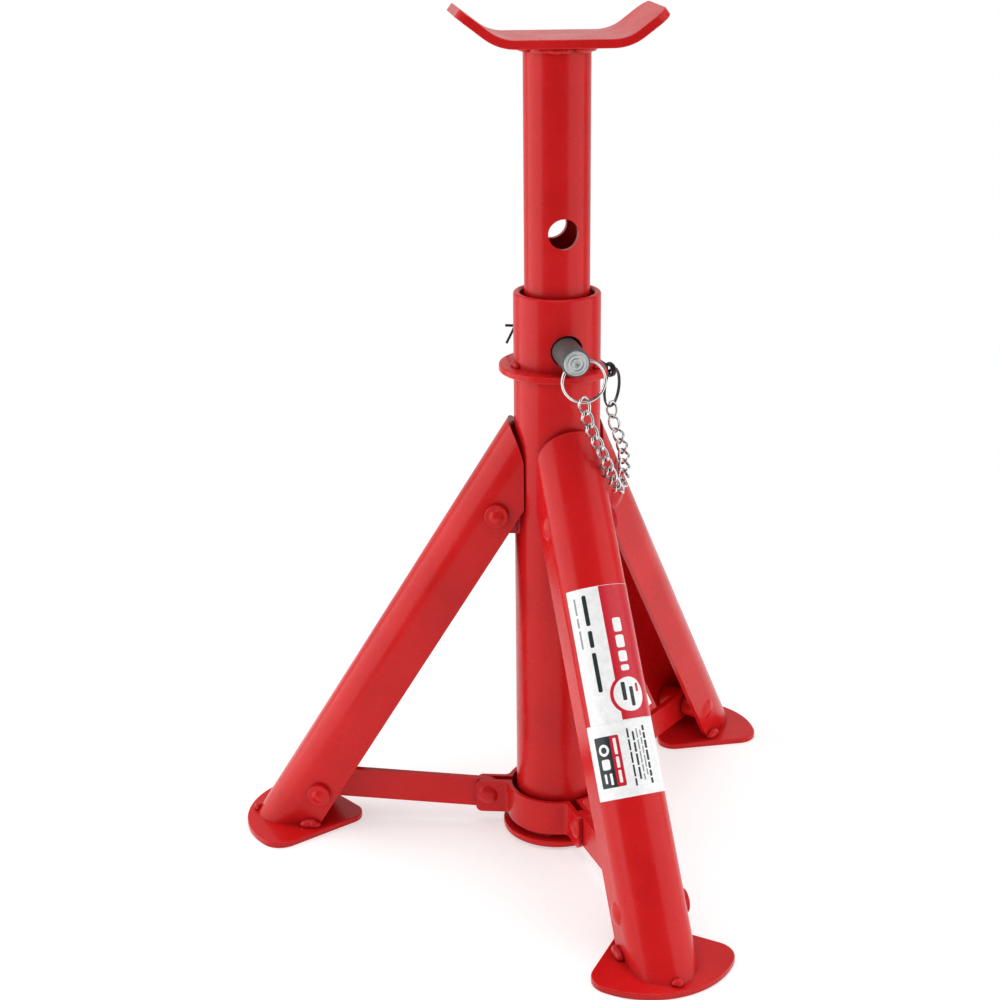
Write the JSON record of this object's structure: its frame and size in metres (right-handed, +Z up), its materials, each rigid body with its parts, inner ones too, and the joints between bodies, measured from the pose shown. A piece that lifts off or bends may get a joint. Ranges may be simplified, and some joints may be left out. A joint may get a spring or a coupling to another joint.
{
  "type": "axle stand",
  "caption": "Folding three-legged axle stand: tube column, pinned inner post with cradle saddle, hinged channel legs with foot plates, sliding collar and link bars.",
  "frame": {"origin": "on the column axis, in the plane that the three foot plates stand on", "axes": "+Z up along the column; -Y points along the front leg; +X to the right seen from the front leg's side"},
  "size_m": [0.27, 0.2478, 0.3784],
  "materials": {
    "red_enamel": "gloss",
    "zinc": "bright zinc plate",
    "dark_steel": "black oxide",
    "label": "printed gloss film"
  },
  "bodies": {
    "column": {"centre_tube": "red_enamel", "upper_flange": "red_enamel", "lower_flange": "red_enamel", "hinge_bracket_front": "red_enamel", "hinge_bracket_left": "red_enamel", "hinge_bracket_right": "red_enamel"},
    "post": {"inner_post": "red_enamel", "saddle": "red_enamel"},
    "collar": {"collar_strap_1": "red_enamel", "collar_strap_2": "red_enamel", "collar_strap_3": "red_enamel", "collar_rivet_front": "red_enamel", "collar_rivet_left": "red_enamel", "collar_rivet_right": "red_enamel"},
    "lock_pin": {"lock_pin": "zinc", "pin_ring": "zinc"},
    "clip": {"retaining_clip": "dark_steel"},
    "tether": {"clip_ring": "dark_steel", "tether_chain": "zinc"},
    "leg_front": {"leg_channel_front": "red_enamel", "foot_plate_front": "red_enamel", "hinge_rivet_front": "red_enamel", "link_rivet_front": "red_enamel", "link_spacers_front": "red_enamel", "info_label": "label"},
    "link_front": {"link_bar_front": "red_enamel"},
    "leg_left": {"leg_channel_left": "red_enamel", "foot_plate_left": "red_enamel", "hinge_rivet_left": "red_enamel", "link_rivet_left": "red_enamel", "link_spacers_left": "red_enamel"},
    "link_left": {"link_bar_left": "red_enamel"},
    "leg_right": {"leg_channel_right": "red_enamel", "foot_plate_right": "red_enamel", "hinge_rivet_right": "red_enamel", "link_rivet_right": "red_enamel", "link_spacers_right": "red_enamel"},
    "link_right": {"link_bar_right": "red_enamel"}
  },
  "joints": [
    {"name": "post_lift", "type": "slide", "parent": "column", "child": "post", "axis": [0, 0, 1], "range_m": [0, 0.0004]},
    {"name": "leg_front_fold", "type": "hinge", "parent": "column", "child": "leg_front", "pos_m": [0, -0.0258, 0.1614], "axis": [1, 0, 0], "range_deg": [0, 22]},
    {"name": "leg_left_fold", "type": "hinge", "parent": "column", "child": "leg_left", "pos_m": [-0.02366, 0.01029, 0.1614], "axis": [-0.3987, -0.9171, 0], "range_deg": [0, 22.01]},
    {"name": "leg_right_fold", "type": "hinge", "parent": "column", "child": "leg_right", "pos_m": [0.02151, 0.01424, 0.1614], "axis": [-0.5519, 0.8339, 0], "range_deg": [0, 22.01]},
    {"name": "collar_slide", "type": "slide", "parent": "column", "child": "collar", "axis": [0, 0, 1], "range_m": [0, 0.06276]},
    {"name": "link_front_hinge", "type": "hinge", "parent": "collar", "child": "link_front", "pos_m": [0, -0.0328, 0.0156], "axis": [1, 0, 0], "range_deg": [0, 86.73]},
    {"name": "link_left_hinge", "type": "hinge", "parent": "collar", "child": "link_left", "pos_m": [-0.03008, 0.01308, 0.0156], "axis": [-0.3987, -0.9171, 0], "range_deg": [0, 86.73]},
    {"name": "link_right_hinge", "type": "hinge", "parent": "collar", "child": "link_right", "pos_m": [0.02735, 0.0181, 0.0156], "axis": [-0.5519, 0.8339, 0], "range_deg": [0, 86.73]},
    {"name": "lock_pin_slide", "type": "slide", "parent": "column", "child": "lock_pin", "axis": [-0.1374, -0.9905, 0], "range_m": [0, 0.003]},
    {"name": "clip_slide", "type": "slide", "parent": "lock_pin", "child": "clip", "axis": [0.8013, -0.1112, -0.5878], "range_m": [0, 0.001]},
    {"name": "tether_swing", "type": "hinge", "parent": "lock_pin", "child": "tether", "pos_m": [-0.00061, -0.03424, 0.21925], "axis": [-0.5221, -0.8507, 0.0615], "range_deg": [0, 24.3]}
  ],
  "couplings": [
    {"joint": "leg_left_fold", "follows": "leg_front_fold", "ratio": 1},
    {"joint": "leg_right_fold", "follows": "leg_front_fold", "ratio": 1},
    {"joint": "collar_slide", "follows": "leg_front_fold", "m_per_rad": 0.1632},
    {"joint": "link_front_hinge", "follows": "leg_front_fold", "ratio": 3.94},
    {"joint": "link_left_hinge", "follows": "leg_front_fold", "ratio": 3.94},
    {"joint": "link_right_hinge", "follows": "leg_front_fold", "ratio": 3.94},
    {"joint": "tether_swing", "follows": "leg_front_fold", "ratio": 1.1}
  ]
}
